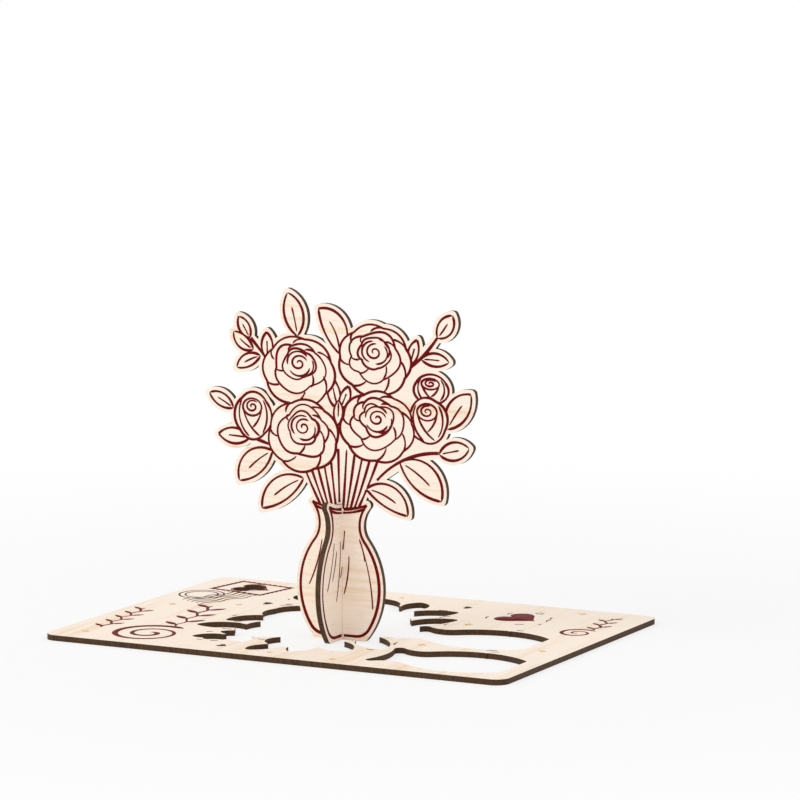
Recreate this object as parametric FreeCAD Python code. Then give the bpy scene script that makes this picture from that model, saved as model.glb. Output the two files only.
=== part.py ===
import FreeCAD, Part
import math
import os

# Greeting card laser-cut from one plywood sheet, with its bouquet popped out.
# The sheet lies on the table, printed face up. A bouquet in a vase and a second
# vase were snapped out of it. The two slide into each other at half height,
# cross at right angles, and stand on the table inside the bouquet's opening.
#
# Frame: millimetres, Z up, origin on the table under the middle of the sheet.
# The sheet's long side runs along X, with the drawing's top towards -X, and the
# bouquet's printed face looks towards -Y.
# The drawing has its own axes: U across the sheet, V up the sheet. It is scaled
# as a whole to fit the sheet, and the widths of cuts and wood margins are not.
# The bouquet is drawn from its vase's foot, so it goes where the vase goes.

Vector = FreeCAD.Vector

# Sheet
SHEET_WIDTH = 127.0
SHEET_LENGTH = 177.8
PLY = 2.0
CORNER_RADIUS = 5.0

# Middle of the drawing, which lies on the middle of the sheet
DRAWING_CENTRE_U = 63.5
DRAWING_CENTRE_V = 88.9

# Laser cut: wood left round a printed shape, width of the cut, snap-off nibs
WOOD_MARGIN = 1.6
KERF = 0.3
NIB_WIDTH = 0.9

# Wood left beside the second vase's opening, and between it and the bouquet's vase
EDGE_MARGIN = 5.1
BRIDGE_WIDTH = 4.4

# Cross joint of the two pop-outs
SLOT_CLEARANCE = 0.1
SLOT_END_GAP = 0.2

# Place on the table of the line where the two pop-outs cross
STAND_X = 3.0
STAND_Y = -15.0

# Vase: widths, and their heights above the printed foot line
VASE_FOOT = 18.6
VASE_BELLY = 30.8
VASE_NECK = 15.6
VASE_RIM = 21.2
BELLY_RISE = 16.8
NECK_RISE = 38.8
RIM_RISE = 46.3
RIM_DIP = 2.0
LIP_DROP = 1.3
SHOULDER_SHARE = 0.74

# Heights in the drawing of the foot lines of the bouquet's vase and the second vase
FOOT_V = 18.7
SECOND_FOOT_V = 8.7

# Ink, and how far a slot is cut past the ink on either face
INK = 0.05
SLOT_OVERRUN = 0.1
LINE = 0.8
FINE_LINE = 0.55
INK_FACETS = 2

# Bouquet: all its U and V are measured from the middle of its vase's foot line
# Roses and buds: centre U, V, width, height, petals in a row, turn in degrees
ROSES = [
    (-15.9, 91.3, 28.6, 24.6, 6, 20),
    (13.6, 96.8, 28.4, 25.0, 7, 75),
    (-14.2, 68.9, 28.0, 25.6, 6, 50),
    (14.6, 73.8, 29.0, 25.0, 7, 10),
]
BUDS = [
    (-34.0, 74.7, 14.8, 16.8, 4, 40),
    (35.4, 88.1, 13.6, 10.4, 3, 30),
    (34.2, 77.3, 15.2, 16.0, 4, 65),
]

# Petals: share of the rose's size and lift of each row, dip between two petals
PETAL_ROWS = [(1.0, 0.0), (0.62, 0.07)]
PETAL_DIP = 0.07
SWIRL_LIFT = 0.1
SWIRL_SHARE = 0.4
SWIRL_TURNS = 1.67

# Leaves: base U, V, tip U, V, width, bow to the left of the way to the tip
LEAF_BELLY = 0.46
MIDRIB_SHARE = 0.75
MIDRIB_SAG = 0.06
LEAVES = [
    (-16.4, 103.6, -20.2, 118.5, 7.4, -0.5),
    (0.1, 98.3, -8.1, 113.6, 8.6, -2.6),
    (-35.2, 101.9, -39.6, 109.2, 4.2, 0.0),
    (-33.8, 97.9, -41.6, 103.9, 4.5, 0.6),
    (-28.2, 94.8, -28.5, 104.3, 4.4, 0.0),
    (-31.0, 95.9, -40.4, 91.3, 4.4, -0.6),
    (37.8, 105.9, 43.4, 113.9, 5.6, -0.3),
    (27.4, 95.8, 30.0, 104.8, 3.9, 0.2),
    (31.6, 98.3, 42.2, 97.8, 4.5, 0.3),
    (41.6, 74.8, 50.5, 87.3, 7.8, 0.6),
    (38.5, 66.0, 49.9, 68.7, 6.2, 0.0),
    (23.4, 62.2, 39.4, 49.7, 9.8, 1.8),
    (10.4, 52.0, 26.5, 43.7, 7.6, 2.2),
    (-14.1, 54.0, -30.6, 42.3, 8.2, -1.7),
    (-26.4, 62.8, -39.6, 51.5, 8.5, -1.4),
    (-35.4, 66.9, -47.8, 67.5, 5.5, 0.0),
    (-41.9, 76.9, -51.4, 81.8, 4.5, -0.3),
]

# Twigs, from the bouquet to the last leaf: U, V of three points each
TWIG_WIDTH = 1.0
TWIGS = [
    [(-26.9, 92.8), (-31.8, 98.7), (-35.8, 102.9)],
    [(27.0, 94.7), (33.0, 100.1), (38.2, 106.7)],
    [(14.6, 55.3), (24.6, 62.9), (38.8, 66.3)],
    [(-23.4, 63.3), (-30.4, 65.9), (-36.4, 67.1)],
    [(-37.4, 74.3), (-41.0, 76.3), (-42.8, 77.5)],
    [(0.6, 93.3), (-0.4, 99.3), (-1.4, 103.3)],
]

# Stems, from the vase's rim to the roses: their spread at both ends
STEM_COUNT = 9
STEM_SPREAD_LOW = 14.0
STEM_SPREAD_HIGH = 33.0
STEM_RISE = 19.0
STEM_LEAN = -0.5

# Shine lines on each vase: from and to, measured from the middle of the foot line
SHINE_SAG = 0.04
SHINES = [
    (-6.9, 33.3, -12.1, 16.8),
    (-2.4, 33.3, -5.4, 12.3),
    (1.9, 36.8, -0.9, 22.3),
    (3.6, 28.3, 1.6, 14.3),
    (8.4, 32.3, 12.9, 9.8),
]

# Stamp with a heart-shaped window
STAMP_U = 110.8
STAMP_V = 156.0
STAMP_WIDTH = 20.2
STAMP_HEIGHT = 24.8
STAMP_TILT = -10.0
STAMP_BORDER = 1.9
PERFORATION = 0.7
PERFORATION_PITCH = 2.4
WINDOW_WIDTH = 14.0

# Postmark: two rings and a set of wavy lines
POSTMARK_U = 91.6
POSTMARK_V = 166.2
POSTMARK_RADIUS = 8.2
POSTMARK_INNER_RADIUS = 6.0
WAVE_COUNT = 5
WAVE_LENGTH = 27.0
WAVE_PITCH = 2.7
WAVE_HEIGHT = 1.7
WAVE_BENDS = 5
WAVE_TILT = -24.0
WAVE_U = 90.0
WAVE_V = 158.0

# Hearts: centre U, V, width, tilt in degrees, the small ones from the vase's foot
HEART_POINTS = 9
RED_HEART = (102.2, 43.6, 16.6, -20.0)
DARK_HEARTS = [
    (25.3, 117.3, 4.2, 15.0),
    (53.3, 98.9, 5.6, 12.0),
    (-50.9, 93.3, 3.8, -14.0),
    (50.6, 49.5, 3.8, 12.0),
]

# Sparkles: centre U, V, size across the points
SPARKLE_WAIST = 0.16
SPARKLES = [
    (11.5, 167.0, 3.2),
    (70.0, 166.0, 3.4),
    (79.8, 144.0, 3.0),
    (116.5, 133.5, 3.4),
    (118.3, 97.8, 2.2),
    (7.2, 91.7, 2.6),
    (6.3, 67.0, 2.6),
    (42.5, 51.5, 3.6),
    (83.0, 53.8, 3.8),
    (119.5, 26.3, 3.6),
    (51.3, 10.0, 3.2),
]

# Short ticks: middle U, V, heading in degrees, length
# The first are measured from the vase's foot, the others from the large heart
TICK_SAG = 0.12
BOUQUET_TICKS = [
    (-23.4, 106.8, 88, 4.4), (-10.2, 109.9, 92, 3.0), (-0.6, 116.3, -18, 2.8),
    (-31.2, 109.3, -48, 2.6), (-44.2, 100.1, 108, 3.2), (-44.8, 105.5, 82, 2.6),
    (-34.8, 86.7, 92, 3.2), (24.8, 109.5, -50, 4.6), (27.2, 109.3, -52, 3.2),
    (35.6, 114.1, 40, 2.2), (45.8, 98.1, 78, 3.8), (47.4, 98.7, 80, 3.0),
    (50.4, 79.3, 66, 4.0), (42.0, 55.1, 100, 3.6), (30.6, 48.7, -26, 5.0),
    (18.2, 41.9, -6, 3.2), (-21.0, 41.5, 12, 4.6), (-34.2, 44.7, 92, 3.0),
    (-17.2, 6.9, -66, 4.0), (-19.4, 4.7, -66, 3.0), (20.0, 13.9, 78, 3.2),
]
HEART_TICKS = [
    (-4.0, 10.0, 12, 4.0), (6.0, 5.8, -14, 3.4), (10.8, -3.4, 72, 4.0),
    (12.6, -3.6, 74, 2.4), (-10.6, -5.6, 112, 3.6), (0.2, -12.0, 4, 4.6),
    (4.8, -11.0, 14, 3.2), (-7.6, -12.4, 46, 2.2),
]

# Garlands: from U, V, to U, V, number of leaves, leaf length
GARLAND_WAVE = 1.6
GARLAND_LEAN = 48.0
GARLAND_LEAF_WIDTH = 0.36
GARLANDS = [
    (20.5, 166.0, 58.5, 170.5, 9, 5.2),
    (33.5, 143.5, 73.0, 151.0, 7, 7.6),
    (94.0, 10.0, 116.0, 13.5, 6, 4.4),
]

# Scrolls: middle U, V, outer radius, start in degrees, turns, line
SPIRAL_ARCS_PER_TURN = 3
SPIRAL_EYE = 0.12
SCROLLS = [
    (18.4, 145.6, 14.2, -28.0, 2.1, 1.8),
    (86.4, 13.2, 7.0, -40.0, 1.7, 1.0),
]

# Twice the area under which three points count as lying on one line
FLAT = 1e-6

# Worked out from the sizes above
CUT_MARGIN = WOOD_MARGIN + KERF
FIT = min(SHEET_WIDTH / DRAWING_CENTRE_U, SHEET_LENGTH / DRAWING_CENTRE_V) / 2
SECOND_VASE_U = EDGE_MARGIN + CUT_MARGIN + VASE_BELLY / 2
VASE_U = SECOND_VASE_U + VASE_BELLY + 2 * CUT_MARGIN + BRIDGE_WIDTH
MEETING_RISE = FIT * RIM_RISE / 2 + WOOD_MARGIN


def at(u, v):
    """Point of the drawing, measured from the middle of the sheet."""
    return Vector(u - DRAWING_CENTRE_U, v - DRAWING_CENTRE_V, 0)


def over_vase(u, v):
    """Point of the drawing, given from the middle of the bouquet's foot line."""
    return at(VASE_U + u, FOOT_V + v)


def polar(radius, degrees):
    """Vector of this length in this direction of the drawing."""
    turn = math.radians(degrees)
    return Vector(radius * math.cos(turn), radius * math.sin(turn), 0)


def curve(points):
    """Row of arcs, each through three points, that share their end points."""
    edges = []
    for start, middle, end in zip(points[::2], points[1::2], points[2::2]):
        if (middle - start).cross(end - middle).Length < FLAT:
            edges.append(Part.LineSegment(start, end).toShape())
        else:
            edges.append(Part.Arc(start, middle, end).toShape())
    return edges


def filled(wire):
    """Flat face inside a closed wire, looking up from the drawing."""
    face = Part.Face(wire)
    if face.normalAt(0, 0).z < 0:
        face.reverse()
    return face


def face_of(edges):
    """Flat face inside a closed row of edges."""
    return filled(Part.Wire(edges))


def joined(faces):
    """One flat shape that covers all the faces."""
    return faces[0].fuse(faces[1:]).removeSplitter()


def grown(face, margin):
    """Face with a margin added all round, or taken off if it is negative."""
    return filled(face.makeOffset2D(margin).Faces[0].OuterWire)


def fitted(face):
    """Drawn face at the scale that fits the sheet, about the sheet's middle."""
    return face.scaled(FIT)


def block(width, height, depth):
    """Box centred on the origin."""
    corner = Vector(-width / 2, -height / 2, -depth / 2)
    return Part.makeBox(width, height, depth, corner)


def facets(points):
    """Points along the arcs through these points, a few straight steps to an arc."""
    spots = []
    for edge in curve(points):
        spots += edge.discretize(INK_FACETS + 1)[:-1]
    return spots + points[-1:]


def polygon(points):
    """Flat face inside a closed row of points."""
    return filled(Part.makePolygon(points + points[:1]))


def stroke(points, width):
    """Pen stroke along the points, full in its middle and pointed at its ends."""
    last = len(points) - 1
    left = []
    right = []
    for index, point in enumerate(points):
        along = points[min(index + 1, last)] - points[max(index - 1, 0)]
        half = width / 2 * math.sin(math.pi * index / last)
        across = Vector(-along.y, along.x, 0).normalize() * half
        left.append(point + across)
        right.append(point - across)
    return polygon(facets(left)[:-1] + facets(right)[:0:-1])


def arc_points(start, end, sag):
    """Three points of an arc that bows to the left by a share of its length."""
    along = end - start
    middle = (start + end) / 2 + Vector(-along.y, along.x, 0) * sag
    return [start, middle, end]


def tangent_arc(start, heading, end):
    """Three points of the arc that leaves its start in this heading, in degrees."""
    along = end - start
    turn = math.radians(heading) - math.atan2(along.y, along.x)
    turn = math.remainder(turn, 2 * math.pi)
    return arc_points(start, end, math.tan(turn / 2) / 2)


def spiral_points(centre, radius, start, turns):
    """Points of a spiral that winds in evenly, from its outer end to its eye."""
    count = 2 * round(turns * SPIRAL_ARCS_PER_TURN)
    points = []
    for index in range(count + 1):
        share = index / count
        reach = radius * (1 - share * (1 - SPIRAL_EYE))
        points.append(centre + polar(reach, start + 360 * turns * share))
    return points


def leaf_side(leaf, side):
    """Base, belly and tip of a leaf's left side, 1, or right side, -1."""
    base_u, base_v, tip_u, tip_v, width, bow = leaf
    base = over_vase(base_u, base_v)
    along = over_vase(tip_u, tip_v) - base
    across = Vector(-along.y, along.x, 0).normalize()
    reach = bow + side * width / 2
    return [base, base + along * LEAF_BELLY + across * reach, base + along]


def leaf_face(leaf):
    """Leaf between its two curved sides."""
    return face_of(curve(leaf_side(leaf, 1)) + curve(leaf_side(leaf, -1)[::-1]))


def leaf_lines(leaf):
    """A leaf's two sides and its midrib."""
    sides = [leaf_side(leaf, side) for side in (-1, 1)]
    base = sides[0][0]
    tip = sides[0][-1]
    rib = arc_points(base, base + (tip - base) * MIDRIB_SHARE, MIDRIB_SAG)
    return [stroke(side, LINE) for side in sides] + [stroke(rib, FINE_LINE)]


def rose_point(rose, row, turn, grow=0.0):
    """Point on a row of a rose's petals, at a turn counted in petals."""
    centre_u, centre_v, width, height, petals, start = rose
    share, lift = row
    swell = 1 - PETAL_DIP if turn == round(turn) else 1.0
    reach = polar(swell, 360 * turn / petals + start)
    u = reach.x * (width * share / 2 + grow)
    v = reach.y * (height * share / 2 + grow)
    return over_vase(centre_u + u, centre_v + height * lift + v)


def petal_points(rose, row=PETAL_ROWS[0], grow=0.0):
    """Valley, crest, valley and so on round a row of petals, back to the first."""
    petals = rose[4]
    return [rose_point(rose, row, half / 2, grow) for half in range(2 * petals + 1)]


def rose_face(rose):
    """Scalloped round of a rose, one arc for each petal."""
    return face_of(curve(petal_points(rose)))


def rose_lines(rose):
    """A rose's rows of petals and the swirl inside them."""
    centre_u, centre_v, width, height, petals, start = rose
    lines = []
    for row in PETAL_ROWS:
        outer = polygon(facets(petal_points(rose, row, LINE / 2))[:-1])
        inner = polygon(facets(petal_points(rose, row, -LINE / 2))[:-1])
        lines.append(outer.cut(inner))
    eye = over_vase(centre_u, centre_v + height * SWIRL_LIFT)
    swirl = spiral_points(eye, width * SWIRL_SHARE / 2, start, SWIRL_TURNS)
    return lines + [stroke(swirl, LINE)]


def vase_side(side):
    """Points of the arcs up the vase's left side, -1, or right side, 1.

    The side stands upright at the belly and at the neck. Two arcs that meet on the
    straight line between those points, anywhere along it, run into each other smoothly.
    """
    foot = Vector(side * VASE_FOOT / 2, 0, 0)
    belly = Vector(side * VASE_BELLY / 2, BELLY_RISE, 0)
    neck = Vector(side * VASE_NECK / 2, NECK_RISE, 0)
    rim = Vector(side * VASE_RIM / 2, RIM_RISE, 0)
    shoulder = belly + (neck - belly) * SHOULDER_SHARE
    lower = tangent_arc(belly, -90, foot)[::-1]
    middle = tangent_arc(belly, 90, shoulder)
    upper = tangent_arc(neck, -90, shoulder)[::-1]
    top = tangent_arc(neck, 90, rim)
    return lower + middle[1:] + upper[1:] + top[1:]


def rim_arc(drop):
    """Points of the vase's dipped rim, lowered by a drop."""
    left = vase_side(-1)[-1]
    right = vase_side(1)[-1]
    dip = Vector(0, RIM_RISE - RIM_DIP, 0)
    down = Vector(0, drop, 0)
    return [left - down, dip - down, right - down]


def vase_face():
    """Vase silhouette on its foot line, with a dipped rim."""
    left = vase_side(-1)
    right = vase_side(1)
    foot = Part.LineSegment(left[0], right[0]).toShape()
    return face_of([foot] + curve(right) + curve(rim_arc(0)[::-1]) + curve(left[::-1]))


def vase_lines():
    """The vase's outline, the lip under its rim and its shine lines."""
    foot = [side[0] for side in (vase_side(-1), vase_side(1))]
    sides = [vase_side(-1), vase_side(1), rim_arc(0), rim_arc(LIP_DROP), arc_points(*foot, 0)]
    lines = [stroke(side, LINE) for side in sides]
    for low_u, low_v, high_u, high_v in SHINES:
        shine = arc_points(Vector(low_u, low_v, 0), Vector(high_u, high_v, 0), SHINE_SAG)
        lines.append(stroke(shine, FINE_LINE))
    return lines


def moved(shape, place):
    """Copy of a shape, moved by a vector."""
    copy = shape.copy()
    copy.translate(place)
    return copy


def stem_ends(share):
    """Low and high end of a stem, for a share from -0.5, left, to 0.5, right."""
    low = over_vase(share * STEM_SPREAD_LOW, RIM_RISE - RIM_DIP)
    high = over_vase(share * STEM_SPREAD_HIGH + STEM_LEAN, RIM_RISE + STEM_RISE)
    return low, high


def stem_fan():
    """Field between the outermost stems."""
    low_left, high_left = stem_ends(-0.5)
    low_right, high_right = stem_ends(0.5)
    corners = [low_left, low_right, high_right, high_left, low_left]
    return Part.Face(Part.makePolygon(corners))


def twig_points(twig):
    """Points of a twig on the drawing."""
    return [over_vase(u, v) for u, v in twig]


def heart_points(width):
    """Points round a heart: across goes with the cube of a sine, up with four cosines."""
    right = []
    for index in range(HEART_POINTS):
        turn = math.pi * index / (HEART_POINTS - 1)
        across = 16 * math.sin(turn) ** 3
        up = 13 * math.cos(turn) - 5 * math.cos(2 * turn)
        up -= 2 * math.cos(3 * turn) + math.cos(4 * turn)
        right.append(Vector(across, up, 0) * (width / 32))
    left = [Vector(-point.x, point.y, 0) for point in right]
    return right + left[-2::-1]


def tilted(face, tilt, centre):
    """Face turned about the origin, then moved to its centre."""
    face.rotate(Vector(0, 0, 0), Vector(0, 0, 1), tilt)
    return moved(face, centre)


def heart_face(width, tilt, centre):
    """Printed heart, in straight steps."""
    return tilted(polygon(facets(heart_points(width))[:-1]), tilt, centre)


def sparkle_face(centre, size):
    """Four-pointed star with a narrow waist."""
    corners = []
    for index in range(8):
        radius = size * (SPARKLE_WAIST if index % 2 else 0.5)
        corners.append(centre + polar(radius, 45 * index))
    return polygon(corners)


def stamp_window():
    """Heart-shaped window in the middle of the stamp."""
    window = face_of(curve(heart_points(WINDOW_WIDTH)))
    return tilted(window, STAMP_TILT, at(STAMP_U, STAMP_V))


def disc(centre, radius):
    """Round face, in straight steps."""
    steps = 8 * INK_FACETS
    return polygon([centre + polar(radius, 360 * step / steps) for step in range(steps)])


def toothed_side(start, end):
    """Points along one side of the stamp, with a notch between two teeth."""
    along = end - start
    across = Vector(-along.y, along.x, 0).normalize()
    teeth = round(along.Length / PERFORATION_PITCH)
    points = []
    for step in range(2 * teeth):
        points.append(start + along * (step / (2 * teeth)) + across * (step % 2 * PERFORATION))
    return points


def stamp_frame():
    """Border of the stamp, perforated all round."""
    def corners(inset):
        half = Vector(STAMP_WIDTH / 2 - inset, STAMP_HEIGHT / 2 - inset, 0)
        return [Vector(across * half.x, up * half.y, 0)
                for across, up in ((-1, -1), (1, -1), (1, 1), (-1, 1))]
    outer = corners(0)
    edge = []
    for start, end in zip(outer, outer[1:] + outer[:1]):
        edge += toothed_side(start, end)
    frame = polygon(edge).cut(polygon(corners(STAMP_BORDER)))
    return tilted(frame, STAMP_TILT, at(STAMP_U, STAMP_V))


def wave_points(start, end, bends, height):
    """Points of a wave with this many bends: where it crosses its line, and each crest."""
    along = end - start
    across = Vector(-along.y, along.x, 0).normalize()
    points = []
    for index in range(2 * bends + 1):
        swing = math.sin(math.pi * index / 2) * height / 2
        points.append(start + along * (index / (2 * bends)) + across * swing)
    return points


def postmark_lines():
    """The postmark's two rings and its wavy lines."""
    centre = at(POSTMARK_U, POSTMARK_V)
    lines = []
    for radius in (POSTMARK_RADIUS, POSTMARK_INNER_RADIUS):
        ring = disc(centre, radius + FINE_LINE / 2)
        lines.append(ring.cut(disc(centre, radius - FINE_LINE / 2)))
    for row in range(WAVE_COUNT):
        middle = Vector(0, (row - WAVE_COUNT / 2) * WAVE_PITCH, 0)
        half = Vector(WAVE_LENGTH / 2, 0, 0)
        wave = stroke(wave_points(middle - half, middle + half, WAVE_BENDS, WAVE_HEIGHT), LINE)
        lines.append(tilted(wave, WAVE_TILT, at(WAVE_U, WAVE_V)))
    return lines


def garland_faces(garland):
    """Wavy stalk with a leaf at each of its bends, on either side in turn."""
    start_u, start_v, end_u, end_v, leaves, length = garland
    start = at(start_u, start_v)
    end = at(end_u, end_v)
    heading = math.degrees(math.atan2((end - start).y, (end - start).x))
    stalk = wave_points(start, end, leaves, GARLAND_WAVE)
    faces = [stroke(stalk, LINE)]
    for index, crest in enumerate(stalk[1::2]):
        lean = GARLAND_LEAN * (-1) ** index
        tip = crest + polar(length, heading + lean)
        faces.append(stroke(arc_points(crest, tip, 0), length * GARLAND_LEAF_WIDTH))
    return faces


def tick_faces(ticks, origin):
    """Short strokes, bowed a little, whose middles are measured from an origin."""
    faces = []
    for u, v, heading, length in ticks:
        middle = origin + Vector(u, v, 0)
        half = polar(length / 2, heading)
        faces.append(stroke(arc_points(middle - half, middle + half, TICK_SAG), FINE_LINE))
    return faces


def bouquet_outline(margin):
    """Bouquet and vase in one outline, with wood left round every motif."""
    motifs = [moved(vase_face(), over_vase(0, 0)), stem_fan()]
    motifs += [rose_face(rose) for rose in ROSES + BUDS]
    motifs += [leaf_face(leaf) for leaf in LEAVES]
    motifs += [stroke(twig_points(twig), TWIG_WIDTH) for twig in TWIGS]
    whole = joined([grown(fitted(motif), margin) for motif in motifs])
    return filled(whole.Faces[0].OuterWire)


def second_vase_outline(margin):
    """Outline of the vase that crosses the bouquet's vase."""
    return grown(fitted(moved(vase_face(), at(SECOND_VASE_U, SECOND_FOOT_V))), margin)


def cut_foot(foot_u, foot_v):
    """Middle of a pop-out's cut foot on the sheet, under its printed foot line."""
    return at(foot_u, foot_v) * FIT - Vector(0, WOOD_MARGIN, 0)


def slot(foot_u, foot_v, low, high):
    """Room for the other pop-out, between two heights above the cut foot."""
    width = PLY + SLOT_CLEARANCE
    room = block(width, high - low, PLY + 2 * SLOT_OVERRUN)
    return moved(room, cut_foot(foot_u, foot_v) + Vector(0, (low + high) / 2, 0))


def bouquet_slot():
    """Slot from the foot up to where the two pop-outs meet."""
    return slot(VASE_U, FOOT_V, -PLY, MEETING_RISE + SLOT_END_GAP / 2)


def second_vase_slot():
    """Slot from the rim down to where the two pop-outs meet."""
    top = FIT * RIM_RISE + 2 * WOOD_MARGIN + PLY
    return slot(SECOND_VASE_U, SECOND_FOOT_V, MEETING_RISE - SLOT_END_GAP / 2, top)


def plate(outline):
    """Ply of this outline, centred on the drawing's plane."""
    return moved(outline, Vector(0, 0, -PLY / 2)).extrude(Vector(0, 0, PLY))


def inked(drawn):
    """Ink on the upper face of a plate."""
    return moved(fitted(drawn), Vector(0, 0, PLY / 2)).extrude(Vector(0, 0, INK))


def sheet_plate():
    """The sheet, with rounded corners, both openings and the stamp's window."""
    sheet = block(SHEET_WIDTH, SHEET_LENGTH, PLY)
    upright = [edge for edge in sheet.Edges if abs(edge.tangentAt(0).z) > 0.5]
    sheet = sheet.makeFillet(CORNER_RADIUS, upright)
    outlines = [bouquet_outline(CUT_MARGIN), second_vase_outline(CUT_MARGIN)]
    for outline in outlines + [fitted(stamp_window())]:
        sheet = sheet.cut(plate(outline))
    reach = FIT * VASE_BELLY / 2 + CUT_MARGIN
    for foot_u, foot_v in ((VASE_U, FOOT_V), (SECOND_VASE_U, SECOND_FOOT_V)):
        belly = at(foot_u, foot_v + BELLY_RISE) * FIT
        for side in (-1, 1):
            nib = block(2 * KERF, NIB_WIDTH, PLY)
            sheet = sheet.fuse(moved(nib, belly + Vector(side * reach, 0, 0)))
    return sheet.removeSplitter()


def bouquet_ink():
    """Lines of the bouquet, each motif covering what lies behind it."""
    stems = [stroke(arc_points(*stem_ends(index / (STEM_COUNT - 1) - 0.5), 0), LINE)
             for index in range(STEM_COUNT)]
    twigs = [stroke(twig_points(twig), TWIG_WIDTH) for twig in TWIGS]
    drawn = joined(stems + twigs)
    for leaf in LEAVES:
        drawn = joined([drawn.cut(leaf_face(leaf))] + leaf_lines(leaf))
    for rose in BUDS + ROSES:
        drawn = joined([drawn.cut(rose_face(rose))] + rose_lines(rose))
    place = over_vase(0, 0)
    lines = [moved(line, place) for line in vase_lines()]
    drawn = joined([drawn.cut(moved(vase_face(), place))] + lines)
    return inked(drawn).cut(bouquet_slot())


def second_vase_ink():
    """Lines of the second vase."""
    drawn = moved(joined(vase_lines()), at(SECOND_VASE_U, SECOND_FOOT_V))
    return inked(drawn).cut(second_vase_slot())


def red_ink():
    """Stamp, large heart, garlands and scrolls on the sheet."""
    u, v, width, tilt = RED_HEART
    faces = [stamp_frame(), heart_face(width, tilt, at(u, v))]
    for garland in GARLANDS:
        faces += garland_faces(garland)
    for u, v, radius, start, turns, line in SCROLLS:
        faces.append(stroke(spiral_points(at(u, v), radius, start, turns), line))
    return inked(joined(faces))


def dark_ink():
    """Postmark, small hearts and ticks on the sheet."""
    faces = postmark_lines()
    faces += [heart_face(width, tilt, over_vase(u, v)) for u, v, width, tilt in DARK_HEARTS]
    faces += tick_faces(BOUQUET_TICKS, over_vase(0, 0))
    faces += tick_faces(HEART_TICKS, at(*RED_HEART[:2]))
    return inked(joined(faces).cut(stamp_frame()))


def gold_ink():
    """Sparkles on the sheet."""
    faces = [sparkle_face(at(u, v), size) for u, v, size in SPARKLES]
    return inked(Part.makeCompound(faces))


def laid(shape):
    """Part of the sheet, turned so that its long side runs along X, on the table."""
    turned = moved(shape, Vector(0, 0, PLY / 2))
    turned.rotate(Vector(0, 0, 0), Vector(0, 0, 1), 90)
    return turned


def stood(shape, foot_u, foot_v, quarter_turns):
    """Pop-out stood on its foot at the crossing line, facing -Y, or +X turned once."""
    raised = moved(shape, -cut_foot(foot_u, foot_v))
    raised.rotate(Vector(0, 0, 0), Vector(1, 0, 0), 90)
    raised.rotate(Vector(0, 0, 0), Vector(0, 0, 1), 90 * quarter_turns)
    raised.translate(Vector(STAND_X, STAND_Y, 0) * FIT)
    return raised


def main():
    """Build every piece and write one file for each."""
    bouquet = plate(bouquet_outline(WOOD_MARGIN)).cut(bouquet_slot())
    second_vase = plate(second_vase_outline(WOOD_MARGIN)).cut(second_vase_slot())
    pieces = {
        "card_sheet": laid(sheet_plate()),
        "card_red_print": laid(red_ink()),
        "card_dark_print": laid(dark_ink()),
        "card_gold_print": laid(gold_ink()),
        "bouquet_panel": stood(bouquet, VASE_U, FOOT_V, 0),
        "bouquet_print": stood(bouquet_ink(), VASE_U, FOOT_V, 0),
        "vase_panel": stood(second_vase, SECOND_VASE_U, SECOND_FOOT_V, 1),
        "vase_print": stood(second_vase_ink(), SECOND_VASE_U, SECOND_FOOT_V, 1),
    }
    os.makedirs("parts", exist_ok=True)
    for name, shape in pieces.items():
        shape.exportStep(f"parts/{name}.step")


main()
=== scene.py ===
import bpy
import math
import numpy as np
from bpy.props import FloatProperty, FloatVectorProperty, PointerProperty
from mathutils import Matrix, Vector
from types import SimpleNamespace


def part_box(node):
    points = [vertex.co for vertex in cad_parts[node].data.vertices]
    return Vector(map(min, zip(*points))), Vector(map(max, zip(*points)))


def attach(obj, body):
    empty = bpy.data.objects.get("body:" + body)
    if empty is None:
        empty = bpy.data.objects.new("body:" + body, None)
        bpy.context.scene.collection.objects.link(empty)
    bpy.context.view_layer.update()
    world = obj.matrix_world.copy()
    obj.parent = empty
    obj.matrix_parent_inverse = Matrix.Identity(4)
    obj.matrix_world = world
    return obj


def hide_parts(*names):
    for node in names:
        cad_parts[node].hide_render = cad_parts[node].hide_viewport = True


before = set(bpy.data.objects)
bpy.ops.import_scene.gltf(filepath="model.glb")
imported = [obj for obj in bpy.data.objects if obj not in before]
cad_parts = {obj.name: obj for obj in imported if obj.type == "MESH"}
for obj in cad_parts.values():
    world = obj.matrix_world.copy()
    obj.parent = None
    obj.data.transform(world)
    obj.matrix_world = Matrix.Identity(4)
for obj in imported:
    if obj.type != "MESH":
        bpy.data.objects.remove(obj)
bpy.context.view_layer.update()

bl_info = {
    "name": "Plywood bouquet card",
    "version": (1, 0, 0),
    "blender": (4, 5, 0),
    "location": "View3D > Sidebar > Card",
    "description": "Ply, burnt edges and printed line art of a laser-cut bouquet card",
    "category": "Add Mesh",
}

MM = 0.001
BODY = "root"

# Strokes that cross lie at different heights, this far apart in millimetres
LEVEL_STEP = 0.0024
LEVELS = 17
SUNK = -0.01

# Pen: length of a stroke's point in widths and its least share, swell of its width, swells
# on an open stroke, and how far its place in U and V shifts them
POINT_LENGTH = 1.6
POINT_LEAST = 0.01
SWELL = 0.18
OPEN_SWELLS = 0.8
SWELL_SHIFT = (1.7, 2.3)

# Three points whose cross product is smaller count as lying on one line
STRAIGHT = 1e-6

# The drawing's axes are U, across the sheet, and V, up the sheet, in millimetres
DRAWING_CENTRE = (63.5, 88.9)
VASE_U = 61.4
VASE_FOOT_V = 18.7
SECOND_VASE_U = 22.4
SECOND_FOOT_V = 8.7
WOOD_MARGIN = 1.6

# Joint: half width of the strip kept free of ink, and its top over the cut foot
JOINT_HALF = 1.2
JOINT_TOP = 47.8

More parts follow.
